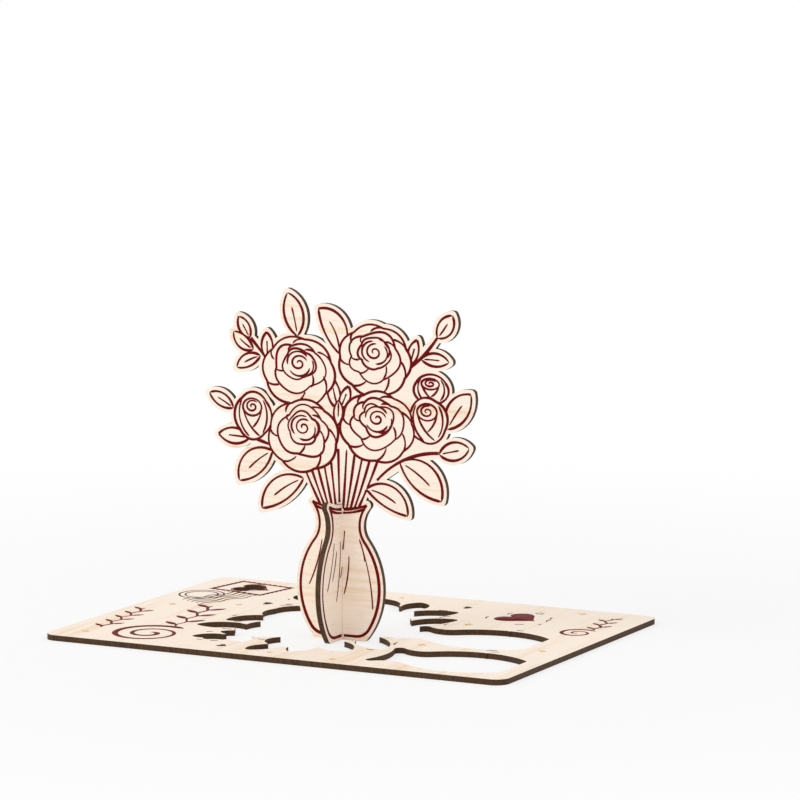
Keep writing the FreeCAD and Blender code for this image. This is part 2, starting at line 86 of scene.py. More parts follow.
# Vase: half widths and heights over its printed foot line
FOOT, BELLY, NECK, RIM = (9.3, 0.0), (15.4, 16.8), (7.8, 38.8), (10.6, 46.3)
SHOULDER_SHARE = 0.74
RIM_DIP = 2.0
LIP_DROP = 1.3
LIP_SHARE = 0.93
FOOT_ROUND = 2.6

# Roses and buds: centre U, V, width, height, petals in the outer row, turn in degrees
ROSES = [
    (45.5, 110.0, 28.6, 24.6, 6, 20),
    (75.0, 115.5, 28.4, 25.0, 7, 75),
    (47.2, 87.6, 28.0, 25.6, 6, 50),
    (76.0, 92.5, 29.0, 25.0, 7, 10),
]
BUDS = [
    (27.4, 93.4, 14.8, 16.8, 4, 40),
    (96.8, 106.8, 13.6, 10.4, 3, 30),
    (95.6, 96.0, 15.2, 16.0, 4, 65),
]
PETAL_DIP = 0.07

# Rows of petals inwards: share of the rose's size, lift, petals fewer than outside
ROSE_ROWS = [(1.0, 0.0, 0), (0.72, 0.05, 2), (0.46, 0.1, 3)]
FEWEST_PETALS = 3
ROW_TURN = 47
ROW_WARP = 0.4
ROW_RIPPLE = 0.032
DIP_GROWTH = 0.4

# Folds: lean in degrees, and the powers that shape their lean and their dive
FOLD_LEAN = 24.0
LEAN_POWER = 0.8
DIVE_POWER = 1.4

# Middle of a rose: its lift, its curl, and crescents of a turn, a reach and a length
MIDDLE_LIFT = 0.015
CURL_REACH = 0.52
CURL_TURNS = 1.5
CRESCENTS = [(20, 0.66, 150), (200, 0.7, 120), (262, 0.82, 95)]
CRESCENT_BULGE = 0.12

# Buds, in shares of their half size: mouth, curl in it, and edges of the petals
MOUTH_MIDDLE = (-0.05, 0.36)
MOUTH_HALF = (0.5, 0.36)
BUD_CURL_MIDDLE = (-0.05, 0.38)
BUD_CURL_REACH = 0.36
BUD_CURL_TURNS = 1.6
BUD_CURL_SQUASH = (1, 0.75)
BUD_EDGES = [
    [(-0.55, 0.34), (-0.26, -0.3), (0.36, -0.84)],
    [(0.45, 0.34), (0.3, -0.12), (-0.04, -0.5)],
    [(-0.6, 0.66), (-0.74, -0.04), (-0.2, -0.88)],
    [(0.52, 0.68), (0.74, 0.08), (0.5, -0.7)],
]

# Leaves: base U, V, tip U, V, width, bow to the left of the way to the tip
LEAF_BELLY = 0.46
RIB_MIDDLE = 0.5
RIB_BOW = 0.8
RIB_END = 0.97
RIB_POINTS = 40
RIB_DRAWN = slice(4, 28)
LEAVES = [
    (45.0, 122.3, 41.2, 137.2, 7.4, -0.5),
    (61.5, 117.0, 53.3, 132.3, 8.6, -2.6),
    (26.2, 120.6, 21.8, 127.9, 4.2, 0.0),
    (27.6, 116.6, 19.8, 122.6, 4.5, 0.6),
    (33.2, 113.5, 32.9, 123.0, 4.4, 0.0),
    (30.4, 114.6, 21.0, 110.0, 4.4, -0.6),
    (99.2, 124.6, 104.8, 132.6, 5.6, -0.3),
    (88.8, 114.5, 91.4, 123.5, 3.9, 0.2),
    (93.0, 117.0, 103.6, 116.5, 4.5, 0.3),
    (103.0, 93.5, 111.9, 106.0, 7.8, 0.6),
    (99.9, 84.7, 111.3, 87.4, 6.2, 0.0),
    (84.8, 80.9, 100.8, 68.4, 9.8, 1.8),
    (71.8, 70.7, 87.9, 62.4, 7.6, 2.2),
    (47.3, 72.7, 30.8, 61.0, 8.2, -1.7),
    (35.0, 81.5, 21.8, 70.2, 8.5, -1.4),
    (26.0, 85.6, 13.6, 86.2, 5.5, 0.0),
    (19.5, 95.6, 10.0, 100.5, 4.5, -0.3),
]

# Printed leaves that peep out between the roses, and have no wood of their own
FILLERS = [
    (61.2, 97.5, 58.4, 108.8, 4.8, 0.5),
    (61.6, 98.0, 65.0, 106.0, 3.8, -0.3),
    (61.0, 101.0, 60.6, 92.0, 3.6, 0.2),
]

# Twigs: U, V of three points each
TWIGS = [
    [(34.5, 111.5), (29.6, 117.4), (25.6, 121.6)],
    [(88.4, 113.4), (94.4, 118.8), (99.6, 125.4)],
    [(76.0, 74.0), (86.0, 81.6), (100.2, 85.0)],
    [(38.0, 82.0), (31.0, 84.6), (25.0, 85.8)],
    [(24.0, 93.0), (20.4, 95.0), (18.6, 96.2)],
]

# Stems: leftmost and rightmost U, and V, of their low and high ends over the vase's foot
STEM_COUNT = 11
STEM_LOW = (-7.0, 7.0, 44.4)
STEM_HIGH = (-17.0, 16.0, 65.3)
STEM_BOW = 0.03

# Shine lines on each vase: from and to, measured from the middle of the foot line
SHINES = [
    (-6.9, 33.3, -12.1, 16.8),
    (-5.2, 30.3, -8.4, 19.8),
    (-2.4, 33.3, -5.4, 12.3),
    (-0.4, 30.8, -2.4, 20.3),
    (1.9, 36.8, -0.9, 22.3),
    (3.6, 28.3, 1.6, 14.3),
    (8.4, 32.3, 12.9, 9.8),
    (7.6, 34.3, 9.8, 26.3),
]
SHINE_SAG = 0.04

# Pens, as shares of the line, and the last two as shares of the fine line
ROW_PEN = 0.85
CURL_PEN = 0.8
BUD_CURL_PEN = 0.75
BUD_EDGE_PEN = 0.8
VASE_PEN = 1.15
TWIG_PEN = 1.2
STALK_PEN = 1.1
FOLD_PEN = 1.2
SHINE_PEN = 0.8

# Stamp: centre U, V, width, height, tilt; depth of a bite, bites on two sides in turn
STAMP = (110.8, 156.0, 20.2, 24.8, -10.0)
STAMP_BORDER = 1.9
PERFORATION = 0.65
PERFORATIONS = (8, 10)
WINDOW_WIDTH = 14.0
WINDOW_LINE = 1.07

# Postmark: centre and radii of its rings; centre U, V, length and tilt of its waves
POSTMARK = (91.6, 166.2)
POSTMARK_RADII = (8.2, 6.0)
RING_SWELL = 0.1
WAVES = (90.0, 158.0, 27.0, -24.0)
WAVE_COUNT = 5
WAVE_PITCH = 2.7
WAVE_BENDS = 5
WAVE_HEIGHT = 1.7

# Hearts: centre U, V, width, tilt in degrees
RED_HEARTS = [(102.2, 43.6, 16.6, -20.0)]
DARK_HEARTS = [
    (86.7, 136.0, 4.2, 15.0),
    (114.7, 117.6, 5.6, 12.0),
    (10.5, 112.0, 3.8, -14.0),
    (112.0, 68.2, 3.8, 12.0),
]

# Sparkles: centre U, V, size across the points
SPARKLES = [
    (11.5, 167.0, 3.2),
    (70.0, 166.0, 3.4),
    (79.8, 144.0, 3.0),
    (116.5, 133.5, 3.4),
    (118.3, 97.8, 2.2),
    (7.2, 91.7, 2.6),
    (6.3, 67.0, 2.6),
    (42.5, 51.5, 3.6),
    (83.0, 53.8, 3.8),
    (119.5, 26.3, 3.6),
    (51.3, 10.0, 3.2),
]
SPARKLE_WAIST = 0.34
SPARKLE_POWER = 3

# Short ticks round the motifs: middle U, V, heading in degrees, length
TICKS = [
    (38.0, 125.5, 88, 4.4), (51.2, 128.6, 92, 3.0), (60.8, 135.0, -18, 2.8),
    (30.2, 128.0, -48, 2.6), (17.2, 118.8, 108, 3.2), (16.6, 124.2, 82, 2.6),
    (26.6, 105.4, 92, 3.2), (86.2, 128.2, -50, 4.6), (88.6, 128.0, -52, 3.2),
    (97.0, 132.8, 40, 2.2), (107.2, 116.8, 78, 3.8), (108.8, 117.4, 80, 3.0),
    (111.8, 98.0, 66, 4.0), (103.4, 73.8, 100, 3.6), (92.0, 67.4, -26, 5.0),
    (79.6, 60.6, -6, 3.2), (40.4, 60.2, 12, 4.6), (27.2, 63.4, 92, 3.0),
    (44.2, 25.6, -66, 4.0), (42.0, 23.4, -66, 3.0), (81.4, 32.6, 78, 3.2),
    (98.2, 53.6, 12, 4.0), (108.2, 49.4, -14, 3.4), (113.0, 40.2, 72, 4.0),
    (114.8, 40.0, 74, 2.4), (91.6, 38.0, 112, 3.6), (102.4, 31.6, 4, 4.6),
    (107.0, 32.6, 14, 3.2), (94.6, 31.2, 46, 2.2),
]
TICK_SAG = 0.12

# Garlands: from U, V, to U, V, number of leaves, leaf length
GARLANDS = [
    (20.5, 166.0, 58.5, 170.5, 9, 5.2),
    (33.5, 143.5, 73.0, 151.0, 7, 7.6),
    (94.0, 10.0, 116.0, 13.5, 6, 4.4),
]
GARLAND_WAVE = 1.6
GARLAND_LEAN = 48.0
GARLAND_LEAF_SAG = 0.17

# Scrolls: middle U, V, outer radius, start in degrees, turns, line
SCROLLS = [
    (18.4, 145.6, 14.2, -28.0, 2.1, 2.0),
    (86.4, 13.2, 7.0, -40.0, 1.7, 1.1),
]
SCROLL_SWELL = 0.35

# Levels of the print on the sheet
FRAME_LEVEL, WINDOW_LEVEL, HEART_LEVEL, STALK_LEVEL, LEAF_LEVEL = 1, 2, 3, 4, 5
TICK_LEVEL, SCROLL_LEVEL, RING_LEVEL, WAVE_LEVEL, SPARKLE_LEVEL = 6, 8, 10, 12, 1

# Noise of the ply: bands and pores against a streak, char and speckle per metre, along the
# grain and across it, and what keeps the four patterns apart
BAND_SCALE = (0.4, 0.13)
PORE_SCALE = (9, 5)
CHAR_SCALE = (260, 1900)
SPECKLE_SCALE = (2600, 2600, 2600)
BAND_SHIFT, PORE_SHIFT, CHAR_SHIFT, SPECKLE_SHIFT = 3, 7, 11, 5

# Tone of the ply: shares of streaks and bands, stops of its ramps, and the pores' tint
STREAK_SHARE, BAND_SHARE = 0.6, 0.4
TONE_STOPS = (0.36, 0.52, 0.66)
PORE_STOPS = (0.66, 0.78)
PORE_TINT = (0.86, 0.78, 0.7)
CHAR_STOPS = (0.3, 0.72)
PLY_ROUGHNESS, PLY_ROUGHNESS_SPAN = 0.56, 0.16
PLY_BUMP = 0.00006
PLY_SPECULAR = 0.25

# Tone of the ink: the grain's ramp and its least and most colour, and the worn specks
INK_STOPS = (0.3, 0.7)
INK_TONES = (0.82, 1.12)
WORN_STOPS = (0.68, 0.85)
WORN_TINT = (1.5, 1.4, 1.4)
INK_BUMP = 0.00002
INK_SPECULAR = 0.1
INK_ROUGHNESS = 0.6
GOLD_ROUGHNESS = 0.4

# Floor and lamps, in metres: where the floor turns white, and each lamp's size and place
FLOOR_SIZE = 12.0
FLOOR_ROUGHNESS = 0.9
FADE_FROM, FADE_TO = 0.12, 0.45
KEY_SIZE, KEY_PLACE = 0.7, (-0.8, -0.95, 0.75)
FILL_SIZE, FILL_PLACE = 1.2, (0.9, -0.5, 0.7)
LAMP_TARGET = (0, 0, 0.05)

# Photograph's viewpoint: degrees, metres from the middle of the sheet, and millimetres
CAMERA_AZIMUTH = 27.16
CAMERA_ELEVATION = 7.85
CAMERA_PLACE = (0.7059, -1.3403, 0.2906)
CAMERA_LENS = 197.6


def srgb(red, green, blue):
    """Linear colour of an 8-bit screen colour, each part raised to about 2.2."""
    parts = np.array([red, green, blue]) / 255
    return tuple(np.where(parts < 0.04045, parts / 12.92, ((parts + 0.055) / 1.055) ** 2.4))


class CardInk(bpy.types.PropertyGroup):
    """Widths, thickness and colours of the print."""

    line: FloatProperty(
        name="Line", description="Width of an outline in the print", unit="LENGTH",
        precision=5, default=0.00088, min=0.0002, max=0.002)
    fine_line: FloatProperty(
        name="Fine line", description="Width of midribs, folds and ticks", unit="LENGTH",
        precision=5, default=0.0006, min=0.0001, max=0.0015)
    height: FloatProperty(
        name="Height", description="How far the ink stands off the wood", unit="LENGTH",
        precision=5, default=0.00003, min=0.00001, max=0.0002)
    step: FloatProperty(
        name="Step", description="Length of a straight piece of a stroke", unit="LENGTH",
        precision=5, default=0.00045, min=0.0001, max=0.002)
    red: FloatVectorProperty(
        name="Red", description="Colour of the line art", subtype="COLOR",
        default=srgb(112, 2, 4), min=0.0, max=1.0)
    dark: FloatVectorProperty(
        name="Dark", description="Colour of the postmark, small hearts and ticks",
        subtype="COLOR", default=srgb(62, 14, 12), min=0.0, max=1.0)
    gold: FloatVectorProperty(
        name="Gold", description="Colour of the sparkles", subtype="COLOR",
        default=srgb(226, 178, 40), min=0.0, max=1.0)


class CardWood(bpy.types.PropertyGroup):
    """Colours of the ply's faces and of its laser-cut edges."""

    pale: FloatVectorProperty(
        name="Pale", description="Wood between the streaks", subtype="COLOR",
        default=srgb(254, 239, 223), min=0.0, max=1.0)
    streak: FloatVectorProperty(
        name="Streak", description="Darker streaks of the grain", subtype="COLOR",
        default=srgb(244, 216, 184), min=0.0, max=1.0)
    burnt: FloatVectorProperty(
        name="Burnt", description="Darkest brown of a laser-cut edge", subtype="COLOR",
        default=srgb(54, 35, 19), min=0.0, max=1.0)
    toasted: FloatVectorProperty(
        name="Toasted", description="Lightest brown of a laser-cut edge", subtype="COLOR",
        default=srgb(90, 61, 35), min=0.0, max=1.0)
    streak_length: FloatProperty(
        name="Streak length", description="Length of a streak", unit="LENGTH",
        default=0.045, min=0.001, max=0.5)
    streak_width: FloatProperty(
        name="Streak width", description="Width of a streak", unit="LENGTH",
        default=0.0013, min=0.0001, max=0.05)


class CardStage(bpy.types.PropertyGroup):
    """Floor and light."""

    floor: FloatVectorProperty(
        name="Floor", description="Colour of the floor", subtype="COLOR",
        default=(0.9, 0.9, 0.9), min=0.0, max=1.0)
    near: FloatProperty(
        name="Near", description="Share of plain white the floor shows under the card",
        default=0.65, min=0.0, max=1.0)
    key: FloatProperty(
        name="Key light", description="Power of the large soft lamp", unit="POWER",
        default=3.7, min=0.0)
    fill: FloatProperty(
        name="Fill light", description="Power of the lamp on the other side", unit="POWER",
        default=0.5, min=0.0)
    sky: FloatProperty(
        name="Sky", description="Strength of the light from all round", default=0.88, min=0.0)


def settings():
    """The three groups of settings of this scene."""
    scene = bpy.context.scene
    return scene.card_ink, scene.card_wood, scene.card_stage


def pen_sizes():
    """Line, fine line, height and step of the print, in the drawing's millimetres."""
    ink = settings()[0]
    names = ("line", "fine_line", "height", "step")
    return SimpleNamespace(**{name: getattr(ink, name) / MM for name in names})


# Paths: each is an array of points in the drawing, one row a point

def through(start, middle, end, count=24):
    """Arc through three points: the circle's centre is where their bisectors cross."""
    a, b, c = (np.array(point, float) for point in (start, middle, end))
    ab, ac = b - a, c - a
    double_area = 2 * (ab[0] * ac[1] - ab[1] * ac[0])
    share = np.linspace(0, 1, count)[:, None]
    if abs(double_area) < STRAIGHT:
        return a + (c - a) * share
    offset = np.array([
        ac[1] * (ab @ ab) - ab[1] * (ac @ ac),
        ab[0] * (ac @ ac) - ac[0] * (ab @ ab),
    ]) / double_area
    centre = a + offset
    first = math.atan2(*(a - centre)[::-1])
    sweep = math.atan2(*(c - centre)[::-1]) - first
    sweep = sweep % (2 * math.pi) if double_area > 0 else -((-sweep) % (2 * math.pi))
    turn = first + sweep * share
    return centre + np.linalg.norm(offset) * np.hstack([np.cos(turn), np.sin(turn)])


def bowed(start, end, sag=0.0):
    """Arc whose middle stands off to the left by a share of its length."""
    a, c = np.array(start, float), np.array(end, float)
    along = c - a
    return through(a, (a + c) / 2 + np.array([-along[1], along[0]]) * sag, c)


def leaving(start, heading, end):
    """Arc that leaves its start in this heading: its sag is half the half-turn's tangent."""
    along = np.array(end, float) - np.array(start, float)
    turn = math.remainder(math.radians(heading) - math.atan2(along[1], along[0]), 2 * math.pi)
    return bowed(start, end, math.tan(turn / 2) / 2)


def spiral(centre, radius, start, turns, eye=0.12, count=90):
    """Spiral whose radius falls evenly with its turn, from the rim to the eye."""
    share = np.linspace(0, 1, count)
    turn = np.radians(start + 360 * turns * share)
    reach = radius * (1 - share * (1 - eye))
    return np.array(centre) + np.stack([reach * np.cos(turn), reach * np.sin(turn)], 1)


def wave(start, end, bends, height, count=120):
    """Sine wave about a straight line, half a period for each bend."""
    share = np.linspace(0, 1, count)[:, None]
    a, c = np.array(start, float), np.array(end, float)
    along = c - a
    across = np.array([-along[1], along[0]]) / np.linalg.norm(along)
    return a + along * share + across * np.sin(np.pi * bends * share) * height / 2


def turned(points, degrees, centre=(0.0, 0.0)):
    """Points turned about the origin, then moved to a centre."""
    c, s = math.cos(math.radians(degrees)), math.sin(math.radians(degrees))
    return np.asarray(points) @ np.array([[c, s], [-s, c]]) + np.array(centre)


def evenly(path, step):
    """The same path with points about one step apart along its length."""
    run = np.concatenate([[0], np.cumsum(np.linalg.norm(np.diff(path, axis=0), axis=1))])
    spots = np.linspace(0, run[-1], max(3, int(run[-1] / step) + 2))
    return np.stack([np.interp(spots, run, path[:, 0]), np.interp(spots, run, path[:, 1])], 1)


def inside(points, outline):
    """True for each point inside: a line to its right crosses the outline an odd number of times."""
    x, y = points[:, 0, None], points[:, 1, None]
    ax, ay = outline[:, 0], outline[:, 1]
    bx, by = np.roll(ax, -1), np.roll(ay, -1)
    spans = (ay > y) != (by > y)
    rise = np.where(by == ay, 1e-9, by - ay)
    return (spans & (x < ax + (y - ay) * (bx - ax) / rise)).sum(1) % 2 == 1


# Solids: each is a pair of arrays, points (U, V, height) and faces

def pen(path, width, level, blunt=False, swell=SWELL, loop=False):
    """Flat stroke with a four-sided section carried along a path.

    The half width grows from a point as the root of the way from each end, and swells
    and thins once or twice on the way like a brush line.
    """
    ink = pen_sizes()
    spots = evenly(path, ink.step)
    count = len(spots)
    share = np.linspace(0, 1, count)
    if loop:
        along = np.roll(spots, -1, 0) - np.roll(spots, 1, 0)
    else:
        along = np.gradient(spots, axis=0)
    along /= np.maximum(np.linalg.norm(along, axis=1), 1e-9)[:, None]
    across = np.stack([-along[:, 1], along[:, 0]], 1)
    reach = np.minimum(share, 1 - share) * np.linalg.norm(np.diff(spots, axis=0), axis=1).sum()
    point = np.sqrt(np.clip(reach / (POINT_LENGTH * width), POINT_LEAST, 1))
    if blunt or loop:
        point = np.ones(count)
    phase = spots[0] @ np.array(SWELL_SHIFT)
    turns = 2 * np.pi * (1 if loop else OPEN_SWELLS)
    half = width / 2 * point * (1 + swell * np.sin(turns * share + phase))
    left, right = spots + across * half[:, None], spots - across * half[:, None]
    low, high = SUNK, ink.height + LEVEL_STEP * level
    corners = [(left, low), (left, high), (right, high), (right, low)]
    points = np.stack([np.column_stack([side, np.full(count, z)]) for side, z in corners], 1)
    ring = np.arange(4)
    first = np.arange(count if loop else count - 1)[:, None] * 4
    following = (first + 4) % (4 * count)
    quads = np.stack([first + ring, first + (ring + 1) % 4,
                      following + (ring + 1) % 4, following + ring], 2).reshape(-1, 4)
    if not loop:
        quads = np.vstack([quads, ring[::-1], ring + 4 * (count - 1)])
    return points.reshape(-1, 3), quads


def plaque(outline, centre, level):
    """Flat solid inside an outline: fans from its centre on both faces, and a wall."""
    count = len(outline)
    low, high = SUNK, pen_sizes().height + LEVEL_STEP * level
    ring = np.vstack([outline, [centre]])
    points = np.vstack([np.column_stack([ring, np.full(count + 1, z)]) for z in (high, low)])
    here = np.arange(count)
    there = (here + 1) % count
    hub, under = np.full(count, count), count + 1
    top = np.stack([hub, here, there, there], 1)
    wall = np.stack([here + under, there + under, there, here], 1)
    base = np.stack([hub + under, there + under, here + under, here + under], 1)
    return points, np.vstack([top, wall, base])


def band(outer, inner, level):
    """Flat solid between two outlines with as many points each."""
    count = len(outer)
    low, high = SUNK, pen_sizes().height + LEVEL_STEP * level
    rings = [(outer, high), (inner, high), (outer, low), (inner, low)]
    points = np.vstack([np.column_stack([ring, np.full(count, z)]) for ring, z in rings])
    here = np.arange(count)
    there = (here + 1) % count
    faces = []
    for a, b in ((0, 1), (1, 3), (3, 2), (2, 0)):
        faces.append(np.stack([here + a * count, there + a * count,
                               there + b * count, here + b * count], 1))
    return points, np.vstack(faces)


def on_sheet(points):
    """Drawing laid on the sheet's upper face: U runs along +Y and V along -X."""
    low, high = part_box("card_sheet")
    u, v, h = points.T * MM
    middle = (low + high) / 2
    centre_u, centre_v = np.array(DRAWING_CENTRE) * MM
    return np.stack([middle.x + centre_v - v, middle.y + u - centre_u, high.z + h], 1)


def on_bouquet(points):
    """Drawing stood on the bouquet's face: U runs along +X and V up."""
    low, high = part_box("bouquet_panel")
    across = (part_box("vase_panel")[0].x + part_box("vase_panel")[1].x) / 2
    u, v, h = points.T * MM
    foot = (VASE_FOOT_V - WOOD_MARGIN) * MM
    return np.stack([across + u - VASE_U * MM, low.y - h, low.z + v - foot], 1)


def on_second_vase(points):
    """Drawing stood on the crossing panel's face: U runs along +Y and V up."""
    low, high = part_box("vase_panel")
    across = (low.y + high.y) / 2
    u, v, h = points.T * MM
    foot = (SECOND_FOOT_V - WOOD_MARGIN) * MM
    return np.stack([high.x + h, across + u - SECOND_VASE_U * MM, low.z + v - foot], 1)


def piece(name, solids, place, node, material):
    """One object of many flat solids, laid on a panel in place of a node's plain print."""
    points, faces, start = [], [], 0
    for spots, quads in solids:
        points.append(spots)
        faces.append(quads + start)
        start += len(spots)
    points, faces = place(np.vstack(points)), np.vstack(faces)
    mesh = bpy.data.meshes.new(name)
    triangle = faces[:, 2] == faces[:, 3]
    sizes = np.where(triangle, 3, 4)
    keep = np.ones(faces.shape, bool)
    keep[triangle, 3] = False
    mesh.vertices.add(len(points))
    mesh.vertices.foreach_set("co", points.astype(np.float32).ravel())
    mesh.loops.add(int(sizes.sum()))
    mesh.loops.foreach_set("vertex_index", faces[keep].astype(np.int32))
    mesh.polygons.add(len(faces))
    mesh.polygons.foreach_set("loop_start", (np.cumsum(sizes) - sizes).astype(np.int32))
    mesh.update(calc_edges=True)
    mesh.materials.append(material)
    made = bpy.data.objects.new(name, mesh)
    bpy.context.scene.collection.objects.link(made)
    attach(made, BODY)
    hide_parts(node)


# Motifs: each is an outline that covers what lies behind it, and its strokes

def petal_count(rose, row):
    """Petals in a row of this rose."""
    return max(FEWEST_PETALS, rose[4] - row[2])


def petal_turn(rose, row, share):
    """Angle where a share of the round has passed.

    Inside the outer row the petals are unequal: a sine of the angle is added to it.
    """
    even = 2 * np.pi * share + math.radians(rose[5] + ROW_TURN * row[2])
    return even + ROW_WARP * min(row[2], 1) * np.sin(even + rose[0])


def petal_round(rose, row, count=180):
    """Round of petals: the radius dips between two petals as one less a half sine.

    Inner rows also ripple, with three and five waves to the round.
    """
    u, v, width, height = rose[:4]
    share, lift, fewer = row
    passed = np.linspace(0, 1, count, endpoint=False)
    turn = petal_turn(rose, row, passed)
    petals = petal_count(rose, row)
    dip = PETAL_DIP * (1 + DIP_GROWTH * fewer)
    ripple = ROW_RIPPLE * min(fewer, 1) * (np.sin(3 * turn + u) + np.sin(5 * turn + v))
    reach = share * (1 - dip * (1 - np.sin(np.pi * (passed * petals % 1))) + ripple)
    return np.stack([u + width / 2 * reach * np.cos(turn),
                     v + height * lift + height / 2 * reach * np.sin(turn)], 1)


def fold(rose, outer, inner, petal):
    """Edge of a petal that dives under its neighbour.

    It leaves the outer row where two petals meet, and leans round as it goes in.
    """
    u, v, width, height = rose[:4]
    first = petal_turn(rose, outer, petal / petal_count(rose, outer))
    share = np.linspace(0, 1, 16)
    turn = first + math.radians(FOLD_LEAN) * share ** LEAN_POWER
    edge = outer[0] * (1 - PETAL_DIP * (1 + DIP_GROWTH * outer[2]))
    reach = edge + (inner[0] * (1 - PETAL_DIP / 2) - edge) * share ** DIVE_POWER
    lift = outer[1] + (inner[1] - outer[1]) * share
    return np.stack([u + width / 2 * reach * np.cos(turn),
                     v + height * lift + height / 2 * reach * np.sin(turn)], 1)


def rose_motif(rose):
    """Rows of petals, the folds between them, and a curl and crescents in the middle."""
    ink = pen_sizes()
    u, v, width, height, _, start = rose
    outline = petal_round(rose, ROSE_ROWS[0])
    strokes = [(outline, ink.line, True)]
    for outer, inner in zip(ROSE_ROWS, ROSE_ROWS[1:]):
        strokes.append((petal_round(rose, inner), ink.line * ROW_PEN, True))
        for petal in range(petal_count(rose, outer)):
            strokes.append((fold(rose, outer, inner, petal), ink.fine_line * FOLD_PEN, False))
    size, lift, _ = ROSE_ROWS[-1]
    centre = np.array([u, v + height * (lift + MIDDLE_LIFT)])
    half = np.array([width, height]) / 2 * size
    curl = spiral((0, 0), CURL_REACH, start, CURL_TURNS) * half + centre
    strokes.append((curl, ink.line * CURL_PEN, False))
    share = np.linspace(0, 1, 24)
    for turn, reach, length in CRESCENTS:
        sweep = np.radians(start + turn + length * share)
        bulge = reach * (1 + CRESCENT_BULGE * np.sin(np.pi * share))
        crescent = np.stack([bulge * np.cos(sweep), bulge * np.sin(sweep)], 1) * half + centre
        strokes.append((crescent, ink.fine_line * FOLD_PEN, False))
    return outline, strokes


def bud_motif(bud):
    """Side view of a closed rose: a mouth with a curl, and petals wrapped below it."""
    ink = pen_sizes()
    u, v, width, height, _, start = bud
    centre, half = np.array([u, v]), np.array([width, height]) / 2
    turn = np.linspace(0, 2 * np.pi, 60, endpoint=False)
    oval = np.stack([MOUTH_HALF[0] * np.cos(turn), MOUTH_HALF[1] * np.sin(turn)], 1)
    mouth = centre + half * MOUTH_MIDDLE + half * oval
    curl = spiral((0, 0), BUD_CURL_REACH, start, BUD_CURL_TURNS) * half * BUD_CURL_SQUASH
    curl = curl + (centre + half * BUD_CURL_MIDDLE)
    edges = [through(*(centre + half * np.array(edge))) for edge in BUD_EDGES]
    outline = petal_round(bud, ROSE_ROWS[0])
    strokes = [(outline, ink.line, True), (mouth, ink.line * ROW_PEN, True)]
    strokes.append((curl, ink.line * BUD_CURL_PEN, False))
    strokes += [(edge, ink.line * BUD_EDGE_PEN, False) for edge in edges]
    return outline, strokes


def leaf_motif(leaf):
    """Two sides that meet at base and tip, and a midrib between them."""
    ink = pen_sizes()
    base, tip = np.array(leaf[:2]), np.array(leaf[2:4])
    width, bow = leaf[4:]
    along = tip - base
    across = np.array([-along[1], along[0]]) / np.linalg.norm(along)
    sides = []
    for side in (1, -1):
        belly = base + along * LEAF_BELLY + across * (bow + side * width / 2)
        sides.append(through(base, belly, tip))
    middle = base + along * RIB_MIDDLE + across * bow * RIB_BOW
    rib = through(base, middle, base + along * RIB_END, RIB_POINTS)[RIB_DRAWN]
    strokes = [(side, ink.line, False) for side in sides] + [(rib, ink.fine_line, False)]
    return np.vstack([sides[0], sides[1][::-1]]), strokes


def vase_sides():
    """Left and right side: arcs upright at belly and neck, met on the line between."""
    halves = []
    for side in (-1, 1):
        foot, belly, neck, rim = (np.array(spot) * (side, 1) for spot in (FOOT, BELLY, NECK, RIM))
        shoulder = belly + (neck - belly) * SHOULDER_SHARE
        halves.append(np.vstack([
            leaving(belly, -90, foot)[::-1], leaving(belly, 90, shoulder)[1:],
            leaving(neck, -90, shoulder)[::-1][1:], leaving(neck, 90, rim)[1:]]))
    return halves


def rounded(first, second, reach):
    """Two paths that share a corner, cut this far from it and joined by a parabola."""
    corner = first[-1]
    before = first[np.linalg.norm(first - corner, axis=1) > reach]
    after = second[np.linalg.norm(second - corner, axis=1) > reach]
    share = np.linspace(0, 1, 16)[1:-1, None]
    bend = before[-1] * (1 - share) ** 2 + corner * 2 * share * (1 - share) + after[0] * share ** 2
    return np.vstack([before, bend, after])


def vase_motif(centre):
    """Outline with rounded foot corners, rim, lip under the rim and shine lines."""
    ink = pen_sizes()
    left, right = vase_sides()
    dip = np.array([0.0, RIM[1] - RIM_DIP])
    rim = through(left[-1], dip, right[-1])
    lip = (rim - (0, LIP_DROP)) * (LIP_SHARE, 1)
    body = rounded(left[::-1], bowed(left[0], right[0]), FOOT_ROUND)
    body = rounded(body, right, FOOT_ROUND)
    strokes = [(path, ink.line * VASE_PEN, False) for path in (body, rim)]
    strokes.append((lip, ink.line, False))
    for from_u, from_v, to_u, to_v in SHINES:
        shine = bowed((from_u, from_v), (to_u, to_v), SHINE_SAG)
        strokes.append((shine, ink.fine_line * SHINE_PEN, False))
    outline = np.vstack([left, rim, right[::-1]])
    place = np.array(centre)
    return outline + place, [(path + place, width, loop) for path, width, loop in strokes]


def stem_motif():
    """Stems fanned out from the vase to the roses, and the twigs."""
    ink = pen_sizes()
    foot = np.array([VASE_U, VASE_FOOT_V])
    strokes = []
    for share in np.linspace(0, 1, STEM_COUNT):
        low = foot + (STEM_LOW[0] + (STEM_LOW[1] - STEM_LOW[0]) * share, STEM_LOW[2])
        high = foot + (STEM_HIGH[0] + (STEM_HIGH[1] - STEM_HIGH[0]) * share, STEM_HIGH[2])
        strokes.append((bowed(low, high, STEM_BOW * (0.5 - share)), ink.line, False))
    strokes += [(through(*twig), ink.line * TWIG_PEN, False) for twig in TWIGS]
    return None, strokes


